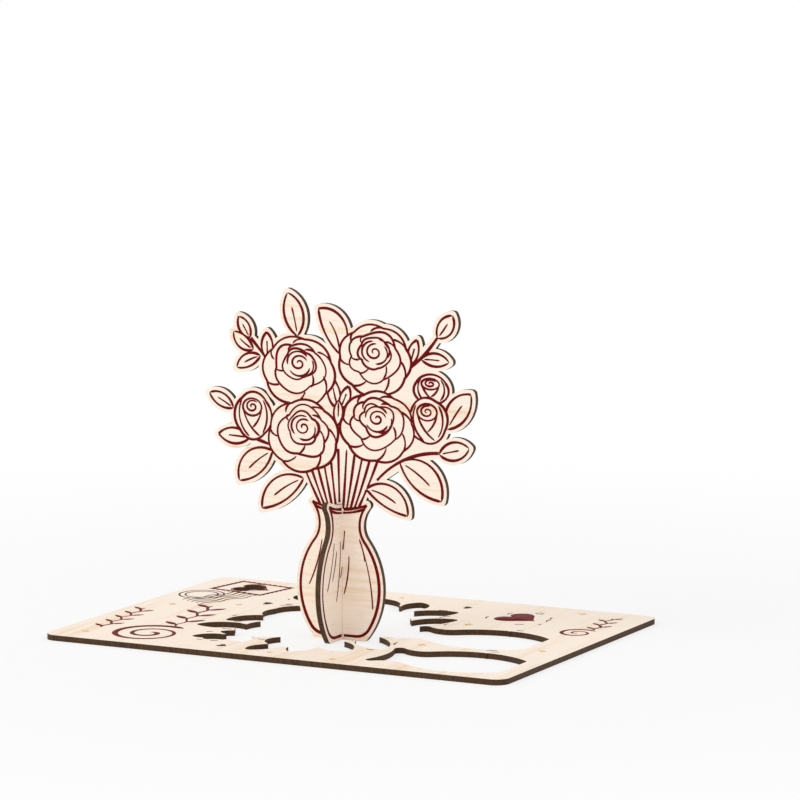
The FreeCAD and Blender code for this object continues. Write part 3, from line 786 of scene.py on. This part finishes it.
def drawn(motifs, joint, foot):
    """Strokes of motifs from back to front: a stroke stops where a nearer one covers it.

    It also stops at the joint, the strip over a vase's foot where the other panel crosses.
    """
    top = foot - WOOD_MARGIN + JOINT_TOP
    ink = pen_sizes()
    covers = [outline for outline, _ in motifs]
    solids = []
    for order, (_, strokes) in enumerate(motifs):
        nearer = [cover for cover in covers[order + 1:] if cover is not None]
        for path, width, loop in strokes:
            whole = np.vstack([path, path[:1]]) if loop else path
            spots = evenly(whole, ink.step)
            hidden = np.zeros(len(spots), bool)
            for cover in nearer:
                hidden |= inside(spots, cover)
            hidden |= (abs(spots[:, 0] - joint) < JOINT_HALF) & (spots[:, 1] < top)
            level = len(solids) % LEVELS
            if not hidden.any():
                solids.append(pen(path if loop else spots, width, level, loop=loop))
                continue
            cuts = np.flatnonzero(np.diff(hidden.astype(int))) + 1
            for run in np.split(np.arange(len(spots)), cuts):
                if not hidden[run[0]] and len(run) > 2:
                    solids.append(pen(spots[run], width, level, blunt=True))
    return solids


def heart_outline(width, count=72):
    """Heart: across goes with the cube of a sine, up with four cosines."""
    turn = np.linspace(0, 2 * np.pi, count, endpoint=False)
    up = 13 * np.cos(turn) - 5 * np.cos(2 * turn) - 2 * np.cos(3 * turn) - np.cos(4 * turn)
    return np.stack([-16 * np.sin(turn) ** 3, up], 1) * width / 32


def sparkle_outline(size, count=64):
    """Star with four points: the radius falls fast beside each, as a power of a cosine."""
    turn = np.linspace(0, 2 * np.pi, count, endpoint=False)
    arm = abs(np.cos(2 * turn)) ** SPARKLE_POWER
    reach = size / 2 * (SPARKLE_WAIST + (1 - SPARKLE_WAIST) * arm)
    return np.stack([reach * np.cos(turn), reach * np.sin(turn)], 1)


def stamp_outlines():
    """Perforated outer edge, its bites half sines, and the plain inner edge."""
    u, v, width, height, tilt = STAMP
    corners = np.array([(-1, -1), (1, -1), (1, 1), (-1, 1)]) * (width / 2, height / 2)
    shrink = 1 - np.array([2 * STAMP_BORDER / width, 2 * STAMP_BORDER / height])
    outer, inner = [], []
    for side in range(4):
        start, end = corners[side], corners[(side + 1) % 4]
        bites = PERFORATIONS[side % 2]
        share = np.linspace(0, 1, 8 * bites, endpoint=False)[:, None]
        along = (end - start) / np.linalg.norm(end - start)
        inward = np.array([-along[1], along[0]])
        edge = start + (end - start) * share
        bite = np.clip(np.sin(2 * np.pi * bites * share), 0, 1) * PERFORATION
        outer.append(edge + inward * bite)
        inner.append(edge * shrink)
    return [turned(np.vstack(ring), tilt, (u, v)) for ring in (outer, inner)]


# Materials

class Nodes:
    """Node tree of a new material, with short calls to add and link nodes."""

    def __init__(self, name):
        self.material = bpy.data.materials.new(name)
        self.material.use_nodes = True
        self.tree = self.material.node_tree
        self.shader = self.tree.nodes["Principled BSDF"]

    def add(self, kind, links=None, **values):
        """New node: values set its fields, links fill its inputs with values or sockets."""
        node = self.tree.nodes.new(kind)
        for name, value in values.items():
            setattr(node, name, value)
        for name, value in (links or {}).items():
            self.put(node.inputs[name], value)
        return node

    def put(self, socket, value):
        """Fill one input with a value or another node's output."""
        if isinstance(value, bpy.types.NodeSocket):
            self.tree.links.new(value, socket)
        else:
            socket.default_value = value

    def noise(self, scale, detail, roughness, shift=0.0):
        """Noise on object coordinates, stretched by a scale for each axis, per metre."""
        place = self.add("ShaderNodeTexCoord").outputs["Object"]
        spread = self.add("ShaderNodeMapping", {"Vector": place, "Scale": scale,
                                                "Location": (shift, shift, shift)})
        made = self.add("ShaderNodeTexNoise", {"Vector": spread.outputs[0], "Scale": 1.0,
                                               "Detail": detail, "Roughness": roughness})
        return made.outputs["Fac"]

    def ramp(self, factor, stops):
        """Colour for a factor, between stops of (place, colour)."""
        made = self.add("ShaderNodeValToRGB", {"Fac": factor})
        elements = made.color_ramp.elements
        while len(elements) < len(stops):
            elements.new(0.5)
        for element, (spot, colour) in zip(elements, stops):
            element.position = spot
            element.color = (*colour, 1.0)
        return made.outputs["Color"]

    def mix(self, factor, first, second, blend="MIX"):
        """Two colours mixed by a factor, through the node's sockets for colours."""
        made = self.add("ShaderNodeMix", data_type="RGBA", blend_type=blend)
        self.put(made.inputs["Factor"], factor)
        self.put(made.inputs[6], first)
        self.put(made.inputs[7], second)
        return made.outputs[2]

    def math(self, operation, first, second=0.0):
        """One sum on two numbers."""
        made = self.add("ShaderNodeMath", operation=operation)
        self.put(made.inputs[0], first)
        self.put(made.inputs[1], second)
        return made.outputs[0]

    def bump(self, height, distance, strength):
        """Bump of this height in metres."""
        made = self.add("ShaderNodeBump", {"Height": height, "Distance": distance,
                                           "Strength": strength})
        return made.outputs[0]


def per_axis(grain, along, across):
    """Scale vector with one value along the grain's axis and another on both others."""
    return tuple(along if axis == grain else across for axis in range(3))


def ply_material(name, grain, facing, shift):
    """Sanded ply: streaks along the grain on both faces, char on the cut edges."""
    wood = settings()[1]
    nodes = Nodes(name)
    long, wide = 1 / wood.streak_length, 1 / wood.streak_width
    band_scale = per_axis(grain, long * BAND_SCALE[0], wide * BAND_SCALE[1])
    pore_scale = per_axis(grain, long * PORE_SCALE[0], wide * PORE_SCALE[1])
    streaks = nodes.noise(per_axis(grain, long, wide), 5.0, 0.62, shift)
    bands = nodes.noise(band_scale, 2.0, 0.5, shift + BAND_SHIFT)
    pores = nodes.noise(pore_scale, 1.0, 0.5, shift + PORE_SHIFT)
    tone = nodes.math("ADD", nodes.math("MULTIPLY", streaks, STREAK_SHARE),
                      nodes.math("MULTIPLY", bands, BAND_SHARE))
    tones = (tuple(wood.pale), tuple(wood.pale), tuple(wood.streak))
    face = nodes.ramp(tone, list(zip(TONE_STOPS, tones)))
    pore = nodes.ramp(pores, list(zip(PORE_STOPS, ((1, 1, 1), PORE_TINT))))
    face = nodes.mix(1.0, face, pore, "MULTIPLY")
    char = nodes.noise(per_axis(facing, *CHAR_SCALE), 3.0, 0.6, shift + CHAR_SHIFT)
    browns = (tuple(wood.burnt), tuple(wood.toasted))
    edge = nodes.ramp(char, list(zip(CHAR_STOPS, browns)))
    normal = nodes.add("ShaderNodeNewGeometry").outputs["True Normal"]
    parts = nodes.add("ShaderNodeSeparateXYZ", {"Vector": normal}).outputs
    flat = nodes.math("GREATER_THAN", nodes.math("ABSOLUTE", parts[facing]), 0.5)
    nodes.put(nodes.shader.inputs["Base Color"], nodes.mix(flat, edge, face))
    rough = nodes.math("MULTIPLY", streaks, PLY_ROUGHNESS_SPAN)
    rough = nodes.math("ADD", rough, PLY_ROUGHNESS)
    nodes.put(nodes.shader.inputs["Roughness"], rough)
    height = nodes.mix(flat, char, streaks)
    nodes.put(nodes.shader.inputs["Normal"], nodes.bump(height, PLY_BUMP, 0.6))
    nodes.shader.inputs["Specular IOR Level"].default_value = PLY_SPECULAR
    return nodes.material


def ink_material(name, colour, grain, roughness=INK_ROUGHNESS):
    """Printed ink that lets a little of the grain under it show as streaks of tone."""
    wood = settings()[1]
    nodes = Nodes(name)
    streaks = nodes.noise(per_axis(grain, 1 / wood.streak_length, 1 / wood.streak_width), 4.0, 0.6)
    speckle = nodes.noise(SPECKLE_SCALE, 2.0, 0.6, SPECKLE_SHIFT)
    tones = [tuple(np.array(tuple(colour)) * share) for share in INK_TONES]
    tint = nodes.ramp(streaks, list(zip(INK_STOPS, tones)))
    worn = nodes.ramp(speckle, list(zip(WORN_STOPS, ((1, 1, 1), WORN_TINT))))
    nodes.put(nodes.shader.inputs["Base Color"], nodes.mix(1.0, tint, worn, "MULTIPLY"))
    nodes.put(nodes.shader.inputs["Normal"], nodes.bump(speckle, INK_BUMP, 0.4))
    nodes.shader.inputs["Roughness"].default_value = roughness
    nodes.shader.inputs["Specular IOR Level"].default_value = INK_SPECULAR
    return nodes.material


# Operators

class CARD_OT_ply(bpy.types.Operator):
    """Give the sheet and both pop-outs their ply, with the grain across the drawing"""

    bl_idname = "card.ply"
    bl_label = "Dress the ply panels"

    def execute(self, context):
        panels = (("card_sheet", 1, 2, 0.0),
                  ("bouquet_panel", 0, 1, 20.0),
                  ("vase_panel", 1, 0, 40.0))
        for node, grain, facing, shift in panels:
            material = ply_material(f"{node}_ply", grain, facing, shift)
            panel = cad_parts[node]
            panel.data.materials.clear()
            panel.data.materials.append(material)
        return {"FINISHED"}


class CARD_OT_bouquet_print(bpy.types.Operator):
    """Draw roses, buds, leaves, stems and vase on the bouquet"""

    bl_idname = "card.bouquet_print"
    bl_label = "Print the bouquet"

    def execute(self, context):
        ink = settings()[0]
        motifs = [stem_motif()]
        motifs += [leaf_motif(leaf) for leaf in FILLERS + LEAVES]
        motifs += [bud_motif(bud) for bud in BUDS]
        motifs += [rose_motif(rose) for rose in ROSES]
        motifs.append(vase_motif((VASE_U, VASE_FOOT_V)))
        material = ink_material("bouquet_red", ink.red, 0)
        solids = drawn(motifs, VASE_U, VASE_FOOT_V)
        piece("bouquet_line_art", solids, on_bouquet, "bouquet_print", material)
        return {"FINISHED"}


class CARD_OT_vase_print(bpy.types.Operator):
    """Draw the outline and shine lines on the crossing vase"""

    bl_idname = "card.vase_print"
    bl_label = "Print the second vase"

    def execute(self, context):
        ink = settings()[0]
        motifs = [vase_motif((SECOND_VASE_U, SECOND_FOOT_V))]
        solids = drawn(motifs, SECOND_VASE_U, SECOND_FOOT_V)
        material = ink_material("vase_red", ink.red, 1)
        piece("vase_line_art", solids, on_second_vase, "vase_print", material)
        return {"FINISHED"}


class CARD_OT_red_print(bpy.types.Operator):
    """Draw stamp, large heart, garlands and scrolls on the sheet"""

    bl_idname = "card.red_print"
    bl_label = "Print the sheet's red"

    def execute(self, context):
        ink, pens = settings()[0], pen_sizes()
        solids = [band(*stamp_outlines(), FRAME_LEVEL)]
        window = turned(heart_outline(WINDOW_WIDTH * WINDOW_LINE), STAMP[4], STAMP[:2])
        solids.append(pen(window, pens.fine_line, WINDOW_LEVEL, loop=True, swell=0.0))
        for u, v, width, tilt in RED_HEARTS:
            heart = turned(heart_outline(width), tilt, (u, v))
            solids.append(plaque(heart, (u, v), HEART_LEVEL))
        for start_u, start_v, end_u, end_v, leaves, length in GARLANDS:
            stalk = wave((start_u, start_v), (end_u, end_v), leaves, GARLAND_WAVE)
            solids.append(pen(stalk, pens.line * STALK_PEN, STALK_LEVEL))
            heading = math.degrees(math.atan2(end_v - start_v, end_u - start_u))
            for index in range(leaves):
                crest = stalk[int((index + 0.5) / leaves * (len(stalk) - 1))]
                lean = heading + GARLAND_LEAN * (-1) ** index
                tip = crest + turned([(length, 0)], lean)[0]
                right = bowed(crest, tip, -GARLAND_LEAF_SAG)
                left = bowed(crest, tip, GARLAND_LEAF_SAG)
                outline = np.vstack([right, left[-2:0:-1]])
                solids.append(plaque(outline, (crest + tip) / 2, LEAF_LEVEL + index % 2))
        for u, v, radius, start, turns, line in SCROLLS:
            scroll = spiral((u, v), radius, start, turns)
            solids.append(pen(scroll, line, SCROLL_LEVEL, swell=SCROLL_SWELL))
        material = ink_material("sheet_red", ink.red, 1)
        piece("sheet_red_art", solids, on_sheet, "card_red_print", material)
        return {"FINISHED"}


class CARD_OT_dark_print(bpy.types.Operator):
    """Draw postmark, small hearts and ticks on the sheet"""

    bl_idname = "card.dark_print"
    bl_label = "Print the sheet's dark brown"

    def execute(self, context):
        ink, pens = settings()[0], pen_sizes()
        solids = []
        turn = np.linspace(0, 2 * np.pi, 96, endpoint=False)
        ring = np.stack([np.cos(turn), np.sin(turn)], 1)
        for radius in POSTMARK_RADII:
            path = ring * radius + POSTMARK
            solids.append(pen(path, pens.fine_line, RING_LEVEL, loop=True, swell=RING_SWELL))
        u, v, length, tilt = WAVES
        for row in range(WAVE_COUNT):
            middle = (row - WAVE_COUNT / 2) * WAVE_PITCH
            path = wave((-length / 2, middle), (length / 2, middle), WAVE_BENDS, WAVE_HEIGHT)
            solids.append(pen(turned(path, tilt, (u, v)), pens.fine_line, WAVE_LEVEL))
        for u, v, width, tilt in DARK_HEARTS:
            heart = turned(heart_outline(width), tilt, (u, v))
            solids.append(plaque(heart, (u, v), HEART_LEVEL))
        for u, v, heading, length in TICKS:
            tick = bowed((-length / 2, 0), (length / 2, 0), TICK_SAG)
            solids.append(pen(turned(tick, heading, (u, v)), pens.fine_line, TICK_LEVEL))
        material = ink_material("sheet_dark", ink.dark, 1)
        piece("sheet_dark_art", solids, on_sheet, "card_dark_print", material)
        return {"FINISHED"}


class CARD_OT_gold_print(bpy.types.Operator):
    """Draw the sparkles on the sheet"""

    bl_idname = "card.gold_print"
    bl_label = "Print the sheet's gold"

    def execute(self, context):
        solids = [plaque(sparkle_outline(size) + (u, v), (u, v), SPARKLE_LEVEL)
                  for u, v, size in SPARKLES]
        material = ink_material("sheet_gold", settings()[0].gold, 1, GOLD_ROUGHNESS)
        piece("sheet_gold_art", solids, on_sheet, "card_gold_print", material)
        return {"FINISHED"}


def lamp(name, power, size, place, target):
    """Square soft lamp that points at a target."""
    data = bpy.data.lights.new(name, "AREA")
    data.energy, data.size = power, size
    made = bpy.data.objects.new(name, data)
    made.location = place
    made.rotation_mode = "QUATERNION"
    made.rotation_quaternion = (Vector(target) - Vector(place)).to_track_quat("-Z", "Y")
    bpy.context.scene.collection.objects.link(made)


def seen_rays(tree):
    """One for camera, mirror and glass rays, which show the background, else zero."""
    path = tree.nodes.new("ShaderNodeLightPath")
    total = path.outputs["Is Camera Ray"]
    for kind in ("Is Glossy Ray", "Is Transmission Ray"):
        both = tree.nodes.new("ShaderNodeMath")
        both.operation = "MAXIMUM"
        tree.links.new(total, both.inputs[0])
        tree.links.new(path.outputs[kind], both.inputs[1])
        total = both.outputs[0]
    return total


class CARD_OT_stage(bpy.types.Operator):
    """Set the pale floor, the soft lamps, the sky and the camera"""

    bl_idname = "card.stage"
    bl_label = "Set the stage"

    def execute(self, context):
        stage = settings()[2]
        scene = context.scene
        bpy.ops.mesh.primitive_plane_add(size=FLOOR_SIZE, location=(0, 0, 0))
        floor = context.object
        floor.name = "floor"
        nodes = Nodes("floor_paper")
        nodes.shader.inputs["Base Color"].default_value = (*stage.floor, 1)
        nodes.shader.inputs["Roughness"].default_value = FLOOR_ROUGHNESS
        nodes.shader.inputs["Specular IOR Level"].default_value = 0.0
        place = nodes.add("ShaderNodeTexCoord").outputs["Object"]
        away = nodes.add("ShaderNodeVectorMath", {"Vector": place}, operation="LENGTH")
        span = {"Value": away.outputs["Value"], "From Min": FADE_FROM, "From Max": FADE_TO,
                "To Min": stage.near, "To Max": 1.0}
        fade = nodes.add("ShaderNodeMapRange", span, interpolation_type="SMOOTHSTEP")
        white = nodes.add("ShaderNodeEmission", {"Color": (1, 1, 1, 1), "Strength": 1.0})
        share = nodes.math("MULTIPLY", fade.outputs["Result"], seen_rays(nodes.tree))
        blend = nodes.add("ShaderNodeMixShader", {"Fac": share})
        nodes.tree.links.new(nodes.shader.outputs[0], blend.inputs[1])
        nodes.tree.links.new(white.outputs[0], blend.inputs[2])
        nodes.tree.links.new(blend.outputs[0], nodes.tree.nodes["Material Output"].inputs[0])
        floor.data.materials.append(nodes.material)
        lamp("key", stage.key, KEY_SIZE, KEY_PLACE, LAMP_TARGET)
        lamp("fill", stage.fill, FILL_SIZE, FILL_PLACE, LAMP_TARGET)
        world = bpy.data.worlds.new("sky")
        world.use_nodes = True
        tree = world.node_tree
        pick = tree.nodes.new("ShaderNodeMix")
        pick.inputs[2].default_value, pick.inputs[3].default_value = stage.sky, 1.0
        tree.links.new(seen_rays(tree), pick.inputs[0])
        backdrop = tree.nodes["Background"]
        backdrop.inputs["Color"].default_value = (1, 1, 1, 1)
        tree.links.new(pick.outputs[0], backdrop.inputs["Strength"])
        scene.world = world
        scene.view_settings.view_transform = "Standard"
        camera = bpy.data.objects.new("camera", bpy.data.cameras.new("camera"))
        camera.data.lens = CAMERA_LENS
        camera.location = CAMERA_PLACE
        turn, rise = math.radians(CAMERA_AZIMUTH), math.radians(CAMERA_ELEVATION)
        back = Vector((math.sin(turn) * math.cos(rise),
                       -math.cos(turn) * math.cos(rise),
                       math.sin(rise)))
        camera.rotation_mode = "QUATERNION"
        camera.rotation_quaternion = (-back).to_track_quat("-Z", "Y")
        scene.collection.objects.link(camera)
        scene.camera = camera
        return {"FINISHED"}


class CARD_PT_panel(bpy.types.Panel):
    """Buttons for each piece and the settings they read"""

    bl_idname = "CARD_PT_panel"
    bl_label = "Bouquet card"
    bl_space_type = "VIEW_3D"
    bl_region_type = "UI"
    bl_category = "Card"

    def draw(self, context):
        for group in settings():
            box = self.layout.box()
            for name in group.__annotations__:
                box.prop(group, name)
        for step in STEPS:
            self.layout.operator(step.bl_idname)


STEPS = (CARD_OT_stage, CARD_OT_ply, CARD_OT_bouquet_print, CARD_OT_vase_print,
         CARD_OT_red_print, CARD_OT_dark_print, CARD_OT_gold_print)
CLASSES = (CardInk, CardWood, CardStage) + STEPS + (CARD_PT_panel,)


def register():
    for kind in CLASSES:
        bpy.utils.register_class(kind)
    bpy.types.Scene.card_ink = PointerProperty(type=CardInk)
    bpy.types.Scene.card_wood = PointerProperty(type=CardWood)
    bpy.types.Scene.card_stage = PointerProperty(type=CardStage)


def unregister():
    del bpy.types.Scene.card_ink, bpy.types.Scene.card_wood, bpy.types.Scene.card_stage
    for kind in reversed(CLASSES):
        bpy.utils.unregister_class(kind)


def main():
    register()
    bpy.ops.card.stage()
    bpy.ops.card.ply()
    bpy.ops.card.bouquet_print()
    bpy.ops.card.vase_print()
    bpy.ops.card.red_print()
    bpy.ops.card.dark_print()
    bpy.ops.card.gold_print()


if __name__ == "__main__":
    main()
